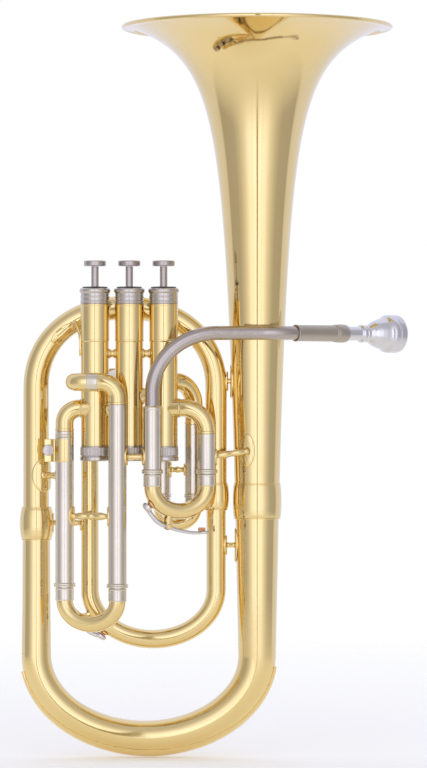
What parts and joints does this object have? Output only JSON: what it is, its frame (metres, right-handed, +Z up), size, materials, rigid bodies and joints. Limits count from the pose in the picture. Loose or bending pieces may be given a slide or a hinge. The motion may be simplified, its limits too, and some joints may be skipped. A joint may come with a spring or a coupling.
{
  "type": "baritone horn",
  "caption": "Upright valved brass horn of the baritone family, with piston valves, pull-out slides, water keys, leadpipe and mouthpiece.",
  "frame": {"origin": "lowest point of the bow guard, midway between the two big legs, in the plane of the big tubes", "axes": "+Z up along the bell towards its mouth, +X towards the bell leg and the mouthpiece, -Y towards the valves and slides"},
  "size_m": [0.2934, 0.2046, 0.5518],
  "materials": {
    "lacquered_brass": "clear-lacquered polished yellow brass",
    "nickel_silver": "polished nickel silver, slightly warm grey",
    "silver_plate": "bright silver plate",
    "spring_steel": "drawn spring wire",
    "valve_metal": "lapped, matt grey",
    "felt": "dense dark felt washer",
    "cork": "natural cork"
  },
  "bodies": {
    "root": {"bell": "lacquered_brass", "bell_ferrule": "lacquered_brass", "bottom_bow": "lacquered_brass", "bow_guard": "lacquered_brass", "left_ferrule": "lacquered_brass", "top_bow": "lacquered_brass", "right_ferrule": "lacquered_brass", "small_bow": "lacquered_brass", "leadpipe": "nickel_silver", "mouthpiece_receiver": "nickel_silver", "tuning_socket_left": "nickel_silver", "tuning_socket_right": "lacquered_brass", "third_socket_left": "lacquered_brass", "third_socket_right": "lacquered_brass", "first_socket_left": "lacquered_brass", "first_socket_right": "lacquered_brass", "second_socket_upper": "lacquered_brass", "second_socket_lower": "lacquered_brass", "lyre_holder": "lacquered_brass", "brace_third_slide": "lacquered_brass", "brace_third_to_tuning": "lacquered_brass", "brace_first_slide": "lacquered_brass", "brace_left_leg": "lacquered_brass", "brace_left_ferrule": "lacquered_brass", "brace_bell_upper": "lacquered_brass", "brace_bell_lower": "lacquered_brass", "brace_tuning_to_bell": "lacquered_brass", "brace_valve_to_top_bow": "lacquered_brass", "valve_1_casing": "lacquered_brass", "valve_1_guide": "valve_metal", "valve_1_spring": "spring_steel", "valve_1_top_cap": "nickel_silver", "valve_1_bottom_cap": "nickel_silver", "valve_2_casing": "lacquered_brass", "valve_2_guide": "valve_metal", "valve_2_spring": "spring_steel", "valve_2_top_cap": "nickel_silver", "valve_2_bottom_cap": "nickel_silver", "valve_3_casing": "lacquered_brass", "valve_3_guide": "valve_metal", "valve_3_spring": "spring_steel", "valve_3_top_cap": "nickel_silver", "valve_3_bottom_cap": "nickel_silver"},
    "mouthpiece": {"mouthpiece": "silver_plate"},
    "valve_1": {"valve_1_piston": "valve_metal", "valve_1_stem": "nickel_silver", "valve_1_button": "nickel_silver"},
    "valve_2": {"valve_2_piston": "valve_metal", "valve_2_stem": "nickel_silver", "valve_2_button": "nickel_silver"},
    "valve_3": {"valve_3_piston": "valve_metal", "valve_3_stem": "nickel_silver", "valve_3_button": "nickel_silver"},
    "tuning_slide": {"tuning_slide": "nickel_silver"},
    "first_slide": {"first_slide": "nickel_silver"},
    "second_slide": {"second_slide": "nickel_silver"},
    "third_slide": {"third_slide": "nickel_silver"},
    "tuning_water_key": {"tuning_water_key": "silver_plate"},
    "bow_water_key": {"bow_water_key": "silver_plate"},
    "lyre_screw": {"lyre_screw": "silver_plate"}
  },
  "joints": [
    {"name": "valve_1_press", "type": "slide", "parent": "root", "child": "valve_1", "axis": [0, 0, -1], "range_m": [0, 0.0145], "stiffness_N_per_m": 180, "springref_m": -0.018, "deforming": ["valve_1_spring"]},
    {"name": "valve_2_press", "type": "slide", "parent": "root", "child": "valve_2", "axis": [0, 0, -1], "range_m": [0, 0.0145], "stiffness_N_per_m": 180, "springref_m": -0.018, "deforming": ["valve_2_spring"]},
    {"name": "valve_3_press", "type": "slide", "parent": "root", "child": "valve_3", "axis": [0, 0, -1], "range_m": [0, 0.0145], "stiffness_N_per_m": 180, "springref_m": -0.018, "deforming": ["valve_3_spring"]},
    {"name": "tuning_slide_pull", "type": "slide", "parent": "root", "child": "tuning_slide", "axis": [0, 0, -1], "range_m": [0, 0.025]},
    {"name": "first_slide_pull", "type": "slide", "parent": "root", "child": "first_slide", "axis": [0, 0, -1], "range_m": [0, 0.045]},
    {"name": "second_slide_pull", "type": "slide", "parent": "root", "child": "second_slide", "axis": [-0.3419, 0.9397, 0], "range_m": [0, 0.024]},
    {"name": "third_slide_pull", "type": "slide", "parent": "root", "child": "third_slide", "axis": [0, 0, -1], "range_m": [0, 0.085]},
    {"name": "tuning_water_key_lift", "type": "hinge", "parent": "tuning_slide", "child": "tuning_water_key", "pos_m": [0.01674, -0.03668, 0.175], "axis": [0.357, -0.9341, 0], "range_deg": [0, 12], "stiffness_Nm_per_rad": 0.02, "springref_deg": -28.65},
    {"name": "bow_water_key_lift", "type": "hinge", "parent": "root", "child": "bow_water_key", "pos_m": [-0.0505, 0, 0.1048], "axis": [0, 1, 0], "range_deg": [0, 12], "stiffness_Nm_per_rad": 0.02, "springref_deg": -28.65},
    {"name": "lyre_screw_turn", "type": "hinge", "parent": "root", "child": "lyre_screw", "pos_m": [-0.0723, -0.0255, 0.2318], "axis": [0, -1, 0], "range_deg": [0, 360]},
    {"name": "mouthpiece_pull", "type": "slide", "parent": "root", "child": "mouthpiece", "axis": [0.8192, 0.5736, 0], "range_m": [0, 0.024]}
  ]
}
